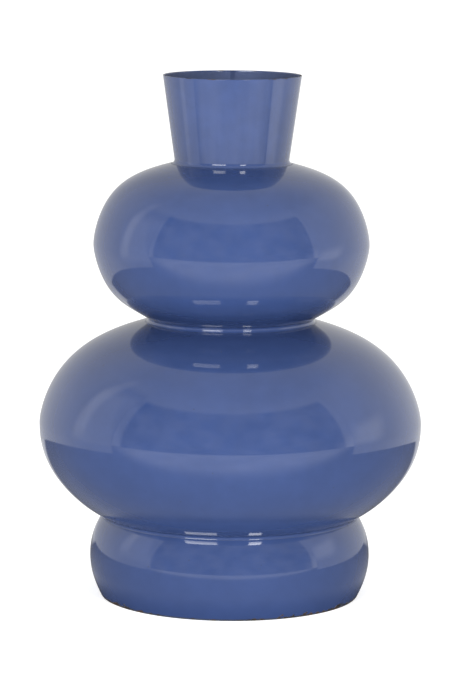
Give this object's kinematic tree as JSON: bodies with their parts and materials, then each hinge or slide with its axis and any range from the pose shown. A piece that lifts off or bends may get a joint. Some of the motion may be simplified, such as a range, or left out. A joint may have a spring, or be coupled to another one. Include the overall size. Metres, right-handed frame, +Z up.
{
  "type": "flower vase",
  "caption": "Tall tiered flower vase of glossy enamelled sheet iron, with a flared neck, round bulbs and a convex foot, which stands free and holds water and stems.",
  "frame": {"origin": "centre of the circle that the vase rests on, at the rest face", "axes": "+Z up along the vase's axis of revolution; +Y towards the back, where the neck's upright seam is"},
  "size_m": [0.28, 0.28, 0.382],
  "materials": {
    "enamel_bulb": "gloss",
    "enamel_neck": "gloss",
    "enamel_foot": "gloss",
    "enamel_weld": "gloss",
    "ground_coat": "satin"
  },
  "bodies": {
    "root": {"base_plate": "ground_coat", "base_weld": "enamel_weld", "foot_band": "enamel_foot", "foot_weld": "enamel_weld", "lower_bulb_bottom": "enamel_bulb", "lower_girth_weld": "enamel_weld", "lower_bulb_top": "enamel_bulb", "waist_weld": "enamel_weld", "upper_bulb_bottom": "enamel_bulb", "upper_girth_weld": "enamel_weld", "upper_bulb_top": "enamel_bulb", "neck_weld": "enamel_weld", "neck_sleeve": "enamel_neck", "neck_seam_weld": "enamel_weld"}
  },
  "joints": []
}
